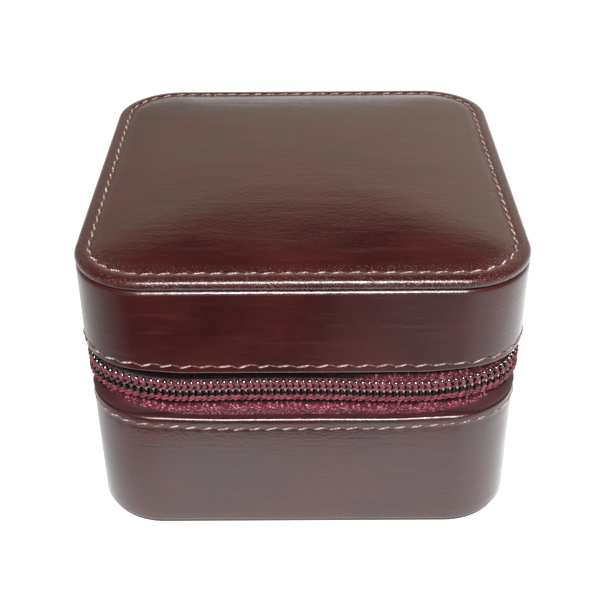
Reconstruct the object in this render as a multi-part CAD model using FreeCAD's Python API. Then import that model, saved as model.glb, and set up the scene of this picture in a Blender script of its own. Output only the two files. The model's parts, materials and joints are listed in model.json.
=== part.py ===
import FreeCAD, Part
import math
import os

# Zip-around leather jewellery case, millimetres.
# X runs to the right, Y to the back, Z up. The origin is under the middle of the base.

# Case
case_width = 96.0
case_depth = 99.8
corner_radius = 15.8
base_height = 30.4
zip_gap = 12.7
lid_wall_height = 20.3
base_inset = 0.6

# Leather, boards and lining
wall_leather = 1.2
bottom_leather = 1.0
bottom_inset = 1.3
wall_board = 2.0
floor_board = 2.0
wall_lining = 1.0
floor_lining = 1.0
ceiling_lining = 1.2
hem_height = 4.4
edge_round = 0.9
lower_edge_round = 0.6

# Padded top panel
panel_edge = 2.4
panel_leather = 1.0
panel_edge_round = 0.95
most_edge_share = 0.48
pad_inset = 3.9
crown_height = 3.0
# Each step of the crown: how far in from the pad's edge, and the share of its height there
crown_profile = ((0.0, 0.0), (1.4, 0.14), (4.8, 0.36), (11.0, 0.64), (19.0, 0.88), (26.0, 1.0))
crown_least_radius = 5.3

# Stitching
stitch_radius = 0.28
stitch_length = 2.5
stitch_slant = 11.0
stitch_stand = 0.02
base_stitch_drop = 2.5
base_stitch_pitch = 3.5
lid_stitch_rise = 1.95
lid_stitch_pitch = 4.1
panel_stitch_inset = 3.1
panel_stitch_pitch = 3.5

# Zip
tape_inset = 2.4
tape_thickness = 0.5
tape_edge_gap = 0.6
zip_corner_radius = 14.5
zip_rise = 1.05
zip_end_before_corner = 2.1
coil_height = 2.6
coil_thickness = 1.6
coil_gap = 0.3
coil_round = 0.5
stop_length = 2.0
stop_gap = 0.1

# Slider, bail and pull
slider_length = 11.0
slider_height = 8.6
slider_plate = 1.0
slider_round = 1.6
slider_fit = 0.15
slider_stop_gap = 0.3
slider_travel = 42.0
post_length = 2.3
post_thickness = 1.0
post_fit = 0.15
post_from_nose = 0.6
flange_thickness = 1.2
bail_span = 7.6
bail_leg = 1.2
bail_width = 1.8
bail_bar = 0.8
bail_fit = 0.15
pull_length = 26.0
pull_width = 6.4
pull_thickness = 1.2
pull_round = 2.5
pull_fit = 0.1
eye_bar_radius = 0.55
eye_side_fit = 0.6
eye_past_bail = 0.6

# Leather hinge gusset
gusset_thickness = 0.8
gusset_bead_radius = 0.9
gusset_bead_fit = 0.05
gusset_corner_gap = 1.0

# Compartments
ring_rolls = ("front", "middle", "rear")
ring_roll_width = 12.4
ring_roll_drop = 4.4
ring_roll_gap = 0.4
ring_roll_fit = 0.3
front_well_depth = 17.6
divider_thickness = 2.4
divider_drop = 4.4
divider_fit = 0.2

# Levels
lid_edge_z = base_height + zip_gap
lid_wall_top_z = lid_edge_z + lid_wall_height
panel_top_z = lid_wall_top_z + panel_edge
base_hem_z = base_height - hem_height
lid_hem_z = lid_edge_z + hem_height
floor_board_top_z = bottom_leather + floor_board
floor_z = floor_board_top_z + floor_lining
roof_board_z = lid_wall_top_z - wall_board
ceiling_z = roof_board_z - ceiling_lining
hinge_z = base_height + zip_gap / 2
zip_z = hinge_z + zip_rise

# Plan places
board_inset = wall_leather + wall_board
base_board_inset = base_inset + board_inset
lining_offset = base_board_inset + wall_lining - tape_inset
zip_corner_y = case_depth / 2 - tape_inset - zip_corner_radius
zip_end_y = zip_corner_y - zip_end_before_corner
hinge_y = case_depth / 2 - tape_inset - gusset_thickness / 2
hinge_half = case_width / 2 - tape_inset - zip_corner_radius
room_half_x = case_width / 2 - tape_inset - lining_offset
room_half_y = case_depth / 2 - tape_inset - lining_offset
stop_end_y = zip_end_y - stop_gap
stop_y = stop_end_y - stop_length
coil_end_y = stop_y - stop_gap
slider_nose_y = stop_y - slider_stop_gap
post_y = slider_nose_y - post_from_nose


def outline(inset, radius, z):
    """Rounded rectangle set in from the case's sides, as a wire at height z."""
    half_x = case_width / 2 - inset
    half_y = case_depth / 2 - inset
    diagonal = radius * (1 - math.sqrt(0.5))
    points = []
    for sx, sy in ((1, -1), (1, 1), (-1, 1), (-1, -1)):
        along_x = FreeCAD.Vector(sx * (half_x - radius), sy * half_y, z)
        middle = FreeCAD.Vector(sx * (half_x - diagonal), sy * (half_y - diagonal), z)
        along_y = FreeCAD.Vector(sx * half_x, sy * (half_y - radius), z)
        corner = [along_x, middle, along_y]
        points.append(corner if sx * sy < 0 else corner[::-1])
    edges = []
    for corner, following in zip(points, points[1:] + points[:1]):
        edges.append(Part.Arc(*corner).toShape())
        edges.append(Part.LineSegment(corner[2], following[0]).toShape())
    return Part.Wire(edges)


def prism(inset, radius, z0, z1):
    return Part.Face(outline(inset, radius, z0)).extrude(FreeCAD.Vector(0, 0, z1 - z0))


def wall_prism(inset, z0, z1):
    """Prism whose corners share their centres with the outer wall's."""
    return prism(inset, corner_radius - inset, z0, z1)


def zip_prism(offset, z0, z1):
    """Prism on the zip's own path, an offset in from the outer face of its tape."""
    return prism(tape_inset + offset, zip_corner_radius - offset, z0, z1)


def block(x0, x1, y0, y1, z0, z1):
    return Part.makeBox(x1 - x0, y1 - y0, z1 - z0, FreeCAD.Vector(x0, y0, z0))


def edges_at(shape, z):
    """Edges that lie in the level plane z."""
    level = 1e-6
    return [e for e in shape.Edges if abs(e.BoundBox.ZMin - z) < level and abs(e.BoundBox.ZMax - z) < level]


def edges_on_side(shape, x):
    """Straight edges that run along X on a block's corners, from its face at x."""
    level = 1e-6
    return [e for e in shape.Edges if e.BoundBox.XLength > level and e.BoundBox.YLength < level
            and e.BoundBox.ZLength < level and abs(e.BoundBox.XMin - x) < level]


def before(shape, y):
    """The part of a shape in front of the plane y."""
    reach = case_width
    return shape.common(block(-reach, reach, -case_depth, y, -reach, 2 * reach))


def behind(shape, y):
    """The part of a shape behind the plane y."""
    reach = case_width
    return shape.common(block(-reach, reach, y, case_depth, -reach, 2 * reach))


def save(name, shape):
    solids = shape.Solids
    whole = solids[0] if len(solids) == 1 else Part.makeCompound(solids)
    whole.exportStep(f"parts/{name}.step")


def place_on_path(inset, radius, distance):
    """Point and heading at a distance along a rounded rectangle, from the front's left end."""
    run_x = case_width - 2 * inset - 2 * radius
    run_y = case_depth - 2 * inset - 2 * radius
    turn = radius * math.pi / 2
    x = -run_x / 2
    y = -case_depth / 2 + inset
    heading = 0.0
    for run in (run_x, run_y, run_x, run_y):
        if distance <= run:
            return x + distance * math.cos(heading), y + distance * math.sin(heading), heading
        distance -= run
        x += run * math.cos(heading)
        y += run * math.sin(heading)
        centre_x = x - radius * math.sin(heading)
        centre_y = y + radius * math.cos(heading)
        swept = min(distance, turn) / radius
        x = centre_x + radius * math.sin(heading + swept)
        y = centre_y - radius * math.cos(heading + swept)
        heading += swept
        if distance <= turn:
            return x, y, heading
        distance -= turn
    return x, y, heading


def path_length(inset, radius):
    straight = 2 * (case_width + case_depth - 4 * inset - 4 * radius)
    return straight + 2 * math.pi * radius


def stitch(centre, along, lean):
    """One thread between two holes: a short round bar, leaning across its row."""
    slant = math.radians(stitch_slant)
    direction = along * math.cos(slant) + lean * math.sin(slant)
    start = centre - direction * (stitch_length / 2)
    return Part.makeCylinder(stitch_radius, stitch_length, start, direction)


def wall_stitches(inset, z, pitch):
    """Row of stitches round the outer face of a wall."""
    radius = corner_radius - inset
    count = round(path_length(inset, radius) / pitch)
    step = path_length(inset, radius) / count
    stand = stitch_radius + stitch_stand
    up = FreeCAD.Vector(0, 0, 1)
    row = []
    for k in range(count):
        x, y, heading = place_on_path(inset, radius, (k + 0.5) * step)
        along = FreeCAD.Vector(math.cos(heading), math.sin(heading), 0)
        outward = FreeCAD.Vector(math.sin(heading), -math.cos(heading), 0)
        centre = FreeCAD.Vector(x, y, z) + outward * stand
        row.append(stitch(centre, along, up))
    return Part.makeCompound(row)


def panel_stitches():
    """Row of stitches on the flat border of the top panel."""
    radius = corner_radius - panel_stitch_inset
    count = round(path_length(panel_stitch_inset, radius) / panel_stitch_pitch)
    step = path_length(panel_stitch_inset, radius) / count
    z = panel_top_z + stitch_radius + stitch_stand
    row = []
    for k in range(count):
        x, y, heading = place_on_path(panel_stitch_inset, radius, (k + 0.5) * step)
        along = FreeCAD.Vector(math.cos(heading), math.sin(heading), 0)
        inward = FreeCAD.Vector(-math.sin(heading), math.cos(heading), 0)
        row.append(stitch(FreeCAD.Vector(x, y, z), along, inward))
    return Part.makeCompound(row)


def coil(z0, z1):
    """Coil on the outer face of the tape, between the end stops, clear of the slider's post."""
    ring = zip_prism(-coil_thickness, z0, z1)
    ring = ring.makeFillet(coil_round, edges_at(ring, z0) + edges_at(ring, z1))
    ring = before(ring.cut(zip_prism(0, z0, z1)), coil_end_y)
    half_slot = post_thickness / 2 + post_fit
    slot_y = post_y - post_length - slider_travel - post_fit
    return ring.cut(block(0, case_width, slot_y, zip_end_y, zip_z - half_slot, zip_z + half_slot))


def stops(z0, z1):
    """End stops of one coil, left and right."""
    ring = zip_prism(-coil_thickness, z0, z1).cut(zip_prism(0, z0, z1))
    return behind(before(ring, stop_end_y), stop_y)


def tape(z0, z1):
    ring = zip_prism(0, z0, z1).cut(zip_prism(tape_thickness, z0, z1))
    return before(ring, zip_end_y)


def gusset(z0, z1):
    """Leather band round the back, from one end of the zip to the other."""
    ring = zip_prism(0, z0, z1).cut(zip_prism(gusset_thickness, z0, z1))
    return behind(ring, zip_end_y)


def hinge_plate(z0, z1):
    half = gusset_thickness / 2
    return block(-hinge_half, hinge_half, hinge_y - half, hinge_y + half, z0, z1)


def hinge_bar(radius):
    start = FreeCAD.Vector(-hinge_half, hinge_y, hinge_z)
    return Part.makeCylinder(radius, 2 * hinge_half, start, FreeCAD.Vector(1, 0, 0))


def lining(inset, rim_z0, rim_z1, wall_z0, wall_z1):
    """Lining set in from the case's sides, with a thicker rim sewn to the zip and the gusset."""
    z0 = min(rim_z0, wall_z0)
    z1 = max(rim_z1, wall_z1)
    rim = zip_prism(tape_thickness, rim_z0, rim_z1)
    wall = wall_prism(inset, wall_z0, wall_z1)
    return rim.fuse(wall).cut(zip_prism(lining_offset, z0, z1)).removeSplitter()


def crown(drop):
    """Swelling of the top panel inside its sewn border, as a stack of rounded rectangles."""
    wires = []
    for further_in, share in crown_profile:
        inset = pad_inset + further_in
        radius = max(corner_radius - inset, crown_least_radius)
        wires.append(outline(inset, radius, panel_top_z - drop + share * crown_height))
    return Part.makeLoft(wires, True, True)


def base_pieces():
    outer = wall_prism(base_inset, bottom_leather, base_height)
    outer = outer.makeFillet(edge_round, edges_at(outer, base_height))
    outer = outer.makeFillet(lower_edge_round, edges_at(outer, bottom_leather))
    inside = wall_prism(base_inset + wall_leather, bottom_leather, base_hem_z)
    leather = outer.cut(inside).cut(zip_prism(0, base_hem_z, base_height))
    board = inside.cut(wall_prism(base_board_inset, bottom_leather, base_hem_z))
    lower_gusset = gusset(base_hem_z, hinge_z - gusset_corner_gap)
    lower_gusset = lower_gusset.fuse(hinge_plate(hinge_z - gusset_corner_gap, hinge_z))
    lower_gusset = lower_gusset.fuse(hinge_bar(gusset_bead_radius)).removeSplitter()
    wall_cloth = lining(base_board_inset, base_hem_z, base_height, floor_board_top_z, base_hem_z)
    save("base_bottom_leather", wall_prism(bottom_inset, 0, bottom_leather))
    save("base_wall_leather", leather)
    save("base_wall_board", board)
    save("base_floor_board", wall_prism(base_board_inset, bottom_leather, floor_board_top_z))
    save("base_wall_lining", wall_cloth.cut(lower_gusset))
    save("base_floor_lining", zip_prism(lining_offset, floor_board_top_z, floor_z))
    save("base_stitching", wall_stitches(base_inset, base_height - base_stitch_drop, base_stitch_pitch))
    save("hinge_gusset_lower", lower_gusset)


def lid_pieces():
    outer = wall_prism(0, lid_edge_z, lid_wall_top_z)
    outer = outer.makeFillet(edge_round, edges_at(outer, lid_wall_top_z))
    outer = outer.makeFillet(lower_edge_round, edges_at(outer, lid_edge_z))
    turned_z = lid_wall_top_z - wall_leather
    inside = wall_prism(wall_leather, lid_hem_z, turned_z)
    leather = outer.cut(inside).cut(zip_prism(0, lid_edge_z, lid_hem_z))
    leather = leather.cut(wall_prism(board_inset, turned_z, lid_wall_top_z))
    board = inside.cut(wall_prism(board_inset, lid_hem_z, turned_z))
    upper_gusset = gusset(hinge_z + gusset_corner_gap, lid_hem_z)
    upper_gusset = upper_gusset.fuse(hinge_plate(hinge_z, hinge_z + gusset_corner_gap))
    upper_gusset = upper_gusset.cut(hinge_bar(gusset_bead_radius + gusset_bead_fit)).removeSplitter()
    wall_cloth = lining(board_inset, lid_edge_z, lid_hem_z, lid_hem_z, roof_board_z)
    save("lid_wall_leather", leather)
    save("lid_wall_board", board)
    save("lid_roof_board", wall_prism(board_inset, roof_board_z, lid_wall_top_z))
    save("lid_wall_lining", wall_cloth.cut(upper_gusset))
    save("lid_ceiling_lining", zip_prism(lining_offset, ceiling_z, roof_board_z))
    save("lid_wall_stitching", wall_stitches(0, lid_edge_z + lid_stitch_rise, lid_stitch_pitch))
    save("hinge_gusset_upper", upper_gusset)


def top_panel_pieces():
    board = wall_prism(panel_leather, lid_wall_top_z, panel_top_z - panel_leather)
    pad = crown(panel_leather)
    edge = wall_prism(0, lid_wall_top_z, panel_top_z)
    rounding = min(panel_edge_round, panel_edge * most_edge_share)
    edge = edge.makeFillet(rounding, edges_at(edge, panel_top_z) + edges_at(edge, lid_wall_top_z))
    save("lid_top_board", board)
    save("lid_top_pad", pad)
    save("lid_top_leather", edge.fuse(crown(0)).cut(board).cut(pad).removeSplitter())
    save("lid_top_stitching", panel_stitches())


def zip_pieces():
    lower_top = zip_z - coil_gap / 2
    upper_bottom = zip_z + coil_gap / 2
    save("zip_tape_lower", tape(base_hem_z, zip_z - tape_edge_gap))
    save("zip_tape_upper", tape(zip_z + tape_edge_gap, lid_hem_z))
    save("zip_coil_lower", coil(lower_top - coil_height, lower_top))
    save("zip_coil_upper", coil(upper_bottom, upper_bottom + coil_height))
    save("zip_stops_lower", stops(lower_top - coil_height, lower_top))
    save("zip_stops_upper", stops(upper_bottom, upper_bottom + coil_height))


def slider_pieces():
    tape_x = case_width / 2 - tape_inset
    under_x = tape_x + coil_thickness + slider_fit
    face_x = under_x + slider_plate
    inner_x = tape_x - tape_thickness - slider_fit
    back_x = inner_x - slider_plate
    tail_y = slider_nose_y - slider_length
    low_z = zip_z - slider_height / 2
    high_z = zip_z + slider_height / 2
    outer = block(under_x, face_x, tail_y, slider_nose_y, low_z, high_z)
    outer = outer.makeFillet(slider_round, edges_on_side(outer, under_x))
    inner = block(back_x, inner_x, tail_y, slider_nose_y, low_z, high_z)
    inner = inner.makeFillet(slider_round, edges_on_side(inner, back_x))
    half_post = post_thickness / 2
    post = block(inner_x, under_x, post_y - post_length, post_y, zip_z - half_post, zip_z + half_post)
    flange = block(tape_x + slider_fit, under_x, tail_y + slider_round, slider_nose_y - slider_round,
                   low_z, low_z + flange_thickness)
    save("slider_body", outer.fuse(inner).fuse(post).fuse(flange).removeSplitter())
    bail_and_pull(face_x, (slider_nose_y + tail_y) / 2)


def bail_and_pull(face_x, middle_y):
    """Bail on the slider's outer face, and the pull whose eye bar lies under it."""
    half_bail = bail_span / 2
    pivot_x = face_x + pull_fit + pull_thickness / 2
    bar_x = pivot_x + eye_bar_radius + bail_fit
    top_x = bar_x + bail_bar
    bail = block(face_x, top_x, middle_y - half_bail, middle_y + half_bail,
                 zip_z - bail_width / 2, zip_z + bail_width / 2)
    opening = block(face_x, bar_x, middle_y - half_bail + bail_leg, middle_y + half_bail - bail_leg,
                    zip_z - bail_width, zip_z + bail_width)
    save("slider_bail", bail.cut(opening))

    pivot = FreeCAD.Vector(pivot_x, middle_y, zip_z - pull_width / 2)
    half_pull = pull_thickness / 2
    tab = block(pivot_x - half_pull, pivot_x + half_pull, middle_y, middle_y + pull_length,
                zip_z - pull_width / 2, zip_z + pull_width / 2)
    far_edges = [e for e in edges_on_side(tab, pivot_x - half_pull) if e.BoundBox.YMin > middle_y + half_pull]
    tab = tab.makeFillet(pull_round, far_edges)
    tab = tab.fuse(Part.makeCylinder(half_pull, pull_width, pivot))
    eye_end = middle_y + half_bail + eye_past_bail
    half_eye = bail_width / 2 + eye_side_fit
    eye = block(pivot_x - pull_thickness, pivot_x + pull_thickness, middle_y - pull_thickness, eye_end,
                zip_z - half_eye, zip_z + half_eye)
    pin = Part.makeCylinder(eye_bar_radius, pull_width, pivot)
    save("zip_pull", tab.cut(eye).fuse(pin).removeSplitter())
    print("pull axis", round(pivot_x, 3), round(middle_y, 3), round(zip_z, 3))


def across_room(y0, y1, fit, z1):
    """Block across the lined room, from side to side and standing on its floor."""
    whole = block(-case_width, case_width, y0, y1, floor_z, z1)
    return whole.common(zip_prism(lining_offset + fit, floor_z, z1))


def ring_roll(y0):
    """Upright foam roll with a round top."""
    top_z = base_height - ring_roll_drop
    round_top = ring_roll_width / 2
    stem = across_room(y0, y0 + ring_roll_width, ring_roll_fit, top_z - round_top)
    slab = across_room(y0, y0 + ring_roll_width, ring_roll_fit, top_z)
    start = FreeCAD.Vector(-case_width, y0 + round_top, top_z - round_top)
    bar = Part.makeCylinder(round_top, 2 * case_width, start, FreeCAD.Vector(1, 0, 0))
    return stem.fuse(slab.common(bar)).removeSplitter()


def compartment_pieces():
    front_y = -room_half_y + front_well_depth
    rolls_y = front_y + divider_thickness + divider_fit
    step = ring_roll_width + ring_roll_gap
    rear_y = rolls_y + len(ring_rolls) * step - ring_roll_gap + divider_fit
    rear_end_y = rear_y + divider_thickness
    top_z = base_height - divider_drop
    half = divider_thickness / 2
    save("front_divider", across_room(front_y, front_y + divider_thickness, divider_fit, top_z))
    save("rear_divider", across_room(rear_y, rear_end_y, divider_fit, top_z))
    save("cross_divider", block(-half, half, rear_end_y + divider_fit, room_half_y - divider_fit,
                                floor_z, top_z))
    for k, place in enumerate(ring_rolls):
        save(f"ring_roll_{place}", ring_roll(rolls_y + k * step))
    print("wells", round(front_y, 3), round(rear_end_y, 3), "room", room_half_x, room_half_y)


os.makedirs("parts", exist_ok=True)
base_pieces()
lid_pieces()
top_panel_pieces()
zip_pieces()
slider_pieces()
compartment_pieces()
print("hinge axis", round(hinge_y, 3), round(hinge_z, 3), "floor", floor_z, "ceiling", ceiling_z)
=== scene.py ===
"""A leather jewellery case: leather, stitching, zip, lining and padding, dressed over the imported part."""
import json
import math

import bmesh
import bpy
import numpy as np
from mathutils import Matrix, Vector, noise

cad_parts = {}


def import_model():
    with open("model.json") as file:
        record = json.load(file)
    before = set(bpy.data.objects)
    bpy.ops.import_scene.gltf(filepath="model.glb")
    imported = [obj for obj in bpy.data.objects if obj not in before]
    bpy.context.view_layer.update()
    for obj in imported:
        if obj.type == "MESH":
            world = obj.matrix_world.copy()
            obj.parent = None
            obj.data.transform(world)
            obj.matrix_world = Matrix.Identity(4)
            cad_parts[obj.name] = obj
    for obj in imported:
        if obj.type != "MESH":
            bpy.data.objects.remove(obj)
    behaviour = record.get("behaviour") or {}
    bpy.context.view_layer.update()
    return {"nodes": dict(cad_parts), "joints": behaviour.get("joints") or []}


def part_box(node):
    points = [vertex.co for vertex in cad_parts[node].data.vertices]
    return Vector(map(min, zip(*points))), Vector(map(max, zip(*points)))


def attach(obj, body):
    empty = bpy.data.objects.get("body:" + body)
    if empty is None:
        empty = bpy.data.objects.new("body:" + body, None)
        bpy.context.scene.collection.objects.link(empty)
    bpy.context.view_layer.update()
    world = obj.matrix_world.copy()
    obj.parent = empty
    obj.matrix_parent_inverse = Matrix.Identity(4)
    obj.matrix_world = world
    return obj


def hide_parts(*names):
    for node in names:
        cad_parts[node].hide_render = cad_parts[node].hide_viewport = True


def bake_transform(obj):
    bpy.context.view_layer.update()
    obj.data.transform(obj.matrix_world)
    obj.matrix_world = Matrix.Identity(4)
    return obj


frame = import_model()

MM = 0.001

# Radii of the plan's corners, which a box does not tell
LID_CORNER = 15.8 * MM
ZIP_CORNER = 14.5 * MM

# Leather edges and sewing
WALL_LEATHER = 1.2 * MM
TURNED_EDGE = 0.55 * MM
BASE_EDGE = 0.7 * MM
TOP_EDGE = 1.05 * MM
PANEL_EDGE = 2.4 * MM
PANEL_EDGE_ROUND = 1.1 * MM
HEM = 4.4 * MM
STITCH_RADIUS = 0.23 * MM
STITCH_LENGTH = 2.7 * MM
STITCH_SLANT = 12.0
STITCH_SINK = 0.10 * MM
BASE_PITCH = 3.5 * MM
LID_PITCH = 4.1 * MM
PANEL_PITCH = 3.5 * MM
BASE_ROW_DROP = 2.5 * MM
LID_ROW_RISE = 1.95 * MM
PANEL_ROW_INSET = 3.1 * MM
PAD_INSET = 3.9 * MM

# Zip
COIL_PITCH = 1.4 * MM
COIL_THICKNESS = 1.6 * MM
TAPE_THICKNESS = 0.5 * MM

# Sampling of the meshes
WALL_STEP = 0.5 * MM
LINING_STEP = 1.5 * MM


def srgb(red, green, blue):
    """A colour written in 0 to 255 as the linear colour that a shader takes."""
    def linear(value):
        value /= 255
        return value / 12.92 if value <= 0.04045 else ((value + 0.055) / 1.055) ** 2.4
    return (linear(red), linear(green), linear(blue), 1.0)


class Loop:
    """A rounded rectangle seen from above, walked from the middle of the back over the left side, the front
    and the right side. It has nine runs, straight and round in turn."""

    def __init__(self, half_x, half_y, radius):
        self.radius = radius
        flat_x, flat_y = half_x - radius, half_y - radius
        arc = radius * math.pi / 2
        self.runs = np.array([flat_x, arc, 2 * flat_y, arc, 2 * flat_x, arc, 2 * flat_y, arc, flat_x])
        self.starts = np.concatenate([[0.0], np.cumsum(self.runs)])
        self.length = self.starts[-1]
        corners = [(-flat_x, flat_y), (-flat_x, -flat_y), (flat_x, -flat_y), (flat_x, flat_y)]
        self.centres = np.concatenate([[(0, flat_y)], np.repeat(corners, 2, axis=0)])

    def at(self, distance):
        """Points and outward normals at distances along the loop."""
        distance = np.mod(np.asarray(distance, float), self.length)
        run = np.clip(np.searchsorted(self.starts, distance, side="right") - 1, 0, len(self.runs) - 1)
        along = distance - self.starts[run]
        is_round = run % 2
        turn = math.pi / 2 * (1 + run // 2) + is_round * along / self.radius
        normal = np.stack([np.cos(turn), np.sin(turn)], axis=-1)
        tangent = np.stack([-normal[..., 1], normal[..., 0]], axis=-1)
        point = self.centres[run] + self.radius * normal + ((1 - is_round) * along)[..., None] * tangent
        return point, normal

    def stations(self, step):
        """Run numbers with the share of each run, evenly spaced by about one step."""
        counts = [max(2, round(run / step)) for run in self.runs]
        return np.concatenate([number + np.arange(count) / count for number, count in enumerate(counts)])

    def distance(self, station):
        run = np.minimum(np.floor(station).astype(int), len(self.runs) - 1)
        return self.starts[run] + (station - run) * self.runs[run]


def inset_loop(loop_half, radius, inset):
    return Loop(loop_half[0] - inset, loop_half[1] - inset, radius - inset)


lid_low, lid_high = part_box("lid_wall_leather")
base_low, base_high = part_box("base_wall_leather")
panel_low, panel_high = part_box("lid_top_leather")
tape_low, tape_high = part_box("zip_tape_lower")
upper_tape_low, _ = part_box("zip_tape_upper")
lower_coil_low, lower_coil_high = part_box("zip_coil_lower")
upper_coil_low, upper_coil_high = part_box("zip_coil_upper")

LID_HALF = (lid_high.x, lid_high.y)
BASE_HALF = (base_high.x, base_high.y)
BASE_CORNER = LID_CORNER - (lid_high.x - base_high.x)
TAPE_HALF = (tape_high.x, -tape_low.y)
ZIP_MIDDLE = (lower_coil_high.z + upper_coil_low.z) / 2

lid_loop = Loop(*LID_HALF, LID_CORNER)
base_loop = Loop(*BASE_HALF, BASE_CORNER)
zip_loop = Loop(*TAPE_HALF, ZIP_CORNER)
ZIP_START = zip_loop.starts[2] + (zip_loop.centres[2][1] - tape_high.y)
ZIP_END = zip_loop.length - ZIP_START


# Mesh making

def in_scene(name, data):
    made = bpy.data.objects.new(name, data)
    bpy.context.scene.collection.objects.link(made)
    return made


def new_object(name, vertices, faces):
    mesh = bpy.data.meshes.new(name)
    mesh.from_pydata(np.asarray(vertices).tolist(), [], faces)
    mesh.validate()
    made = in_scene(name, mesh)
    shade(made)
    return made


def shade(made):
    """Outward faces and smooth shading."""
    work = bmesh.new()
    work.from_mesh(made.data)
    bmesh.ops.recalc_face_normals(work, faces=work.faces)
    work.to_mesh(made.data)
    work.free()
    made.data.polygons.foreach_set("use_smooth", [True] * len(made.data.polygons))


def grid_faces(rows, columns, closed, first=0):
    """Faces of a grid whose columns close round, and whose rows may."""
    faces = []
    for row in range(rows if closed else rows - 1):
        below = first + row * columns
        above = first + (row + 1) % rows * columns
        for column in range(columns):
            beside = (column + 1) % columns
            faces.append((below + column, below + beside, above + beside, above + column))
    return faces


def ring_object(name, points):
    """A mesh from points[row][column] that closes round both ways."""
    return new_object(name, points.reshape(-1, 3), grid_faces(*points.shape[:2], True))


def tube_object(name, points):
    """A mesh from points[row][column] whose first and last row end in one face."""
    return new_object(name, *tube_mesh(points))


def add_surface_map(made, along, across, name="surface"):
    """Stores a pair of values for each vertex as a map, such as the distances along and across a piece."""
    pairs = np.stack(np.broadcast_arrays(along, across), axis=-1).reshape(-1, 2)
    layer = made.data.uv_layers.new(name=name)
    corners = np.empty(len(made.data.loops), dtype=np.int32)
    made.data.loops.foreach_get("vertex_index", corners)
    layer.data.foreach_set("uv", pairs.astype(np.float32)[corners].ravel())


def with_heights(plan, height):
    return np.concatenate([plan, np.broadcast_to(height, plan.shape[:2])[:, :, None]], axis=2)


def swept(point, normal, inset, height):
    """Points of a profile carried along a plan: its insets from the plan, and its heights."""
    return with_heights(point[:, None, :] - np.atleast_2d(inset)[:, :, None] * normal[:, None, :], height)


def flat(vector):
    return np.array([vector[0], vector[1], 0.0])


def tube_points(centres, radii, reference, sides):
    """Rings of points round a line. The reference direction keeps the rings from turning."""
    ahead = np.gradient(centres, axis=0)
    ahead /= np.linalg.norm(ahead, axis=1, keepdims=True)
    across = reference - (reference * ahead).sum(1, keepdims=True) * ahead
    across /= np.linalg.norm(across, axis=1, keepdims=True)
    up = np.cross(ahead, across)
    angles = np.arange(sides) * 2 * math.pi / sides
    cosines, sines = np.cos(angles)[None, :, None], np.sin(angles)[None, :, None]
    ring = cosines * across[:, None, :] + sines * up[:, None, :]
    return centres[:, None, :] + np.asarray(radii)[:, None, None] * ring


def tube_mesh(points, first=0):
    """Vertices and faces of one closed tube."""
    rings, sides = points.shape[:2]
    faces = grid_faces(rings, sides, False, first)
    for ring in (0, rings - 1):
        faces.append(tuple(first + ring * sides + side for side in range(sides)))
    return points.reshape(-1, 3), faces


def copies_object(name, template, places):
    """One object made of a template's copies. A place is an origin with its three directions as rows."""
    vertices, faces = template
    count = len(vertices)
    all_vertices = [vertices @ directions + origin for origin, directions in places]
    all_faces = [tuple(corner + number * count for corner in face)
                 for number in range(len(places)) for face in faces]
    return new_object(name, np.concatenate(all_vertices), all_faces)


def ripples(points, wavelength, seed):
    """Smooth unevenness from -1 to 1, the same in each run."""
    shift = Vector((seed * 3.7, seed * 1.3, seed * 2.9))
    values = [noise.noise(Vector(point) + shift) for point in points.reshape(-1, 3) / wavelength]
    return np.array(values).reshape(points.shape[:-1])


def bell(values, middle, width):
    return np.exp(-((values - middle) / width) ** 2)


def ridge(values, amount, middle, width):
    return amount * bell(values, middle, width)


def dress(made, body, slot, material, *replaced):
    """Gives a finished piece its body and material, and hides the solids it stands for. The slot is not
    used.
    """
    made.data.materials.clear()
    made.data.materials.append(material)
    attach(made, body)
    if replaced:
        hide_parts(*replaced)


# Materials

class Graph:
    """The shader nodes of a material or of the world."""

    def __init__(self, owner):
        owner.use_nodes = True
        self.nodes, self.links = owner.node_tree.nodes, owner.node_tree.links

    def add(self, kind, inputs, **settings):
        """A node with its settings. Each input is a constant, or a socket to link."""
        node = self.nodes.new("ShaderNode" + kind)
        for setting, value in settings.items():
            setattr(node, setting, value)
        for socket, value in inputs.items():
            if isinstance(value, bpy.types.NodeSocket):
                self.links.new(value, node.inputs[socket])
            else:
                node.inputs[socket].default_value = value
        return node

    def axes(self, vector):
        return self.add("SeparateXYZ", {"Vector": vector}).outputs

    def fit(self, value, low, high, new_low, new_high):
        inputs = {"Value": value, "From Min": low, "From Max": high, "To Min": new_low, "To Max": new_high}
        return self.add("MapRange", inputs).outputs[0]

    def calculate(self, operation, first, second):
        return self.add("Math", {0: first, 1: second}, operation=operation).outputs[0]

    def blend(self, share, first, second):
        """A mix of two colours."""
        return self.add("Mix", {"Factor": share, 6: first, 7: second}, data_type="RGBA").outputs[2]

    def shown(self, rays):
        """1 for what the camera, reflections and clear pieces show, 0 for what only lights the case."""
        seen = self.calculate("MAXIMUM", rays["Is Camera Ray"], rays["Is Glossy Ray"])
        return self.calculate("MAXIMUM", seen, rays["Is Transmission Ray"])


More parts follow.
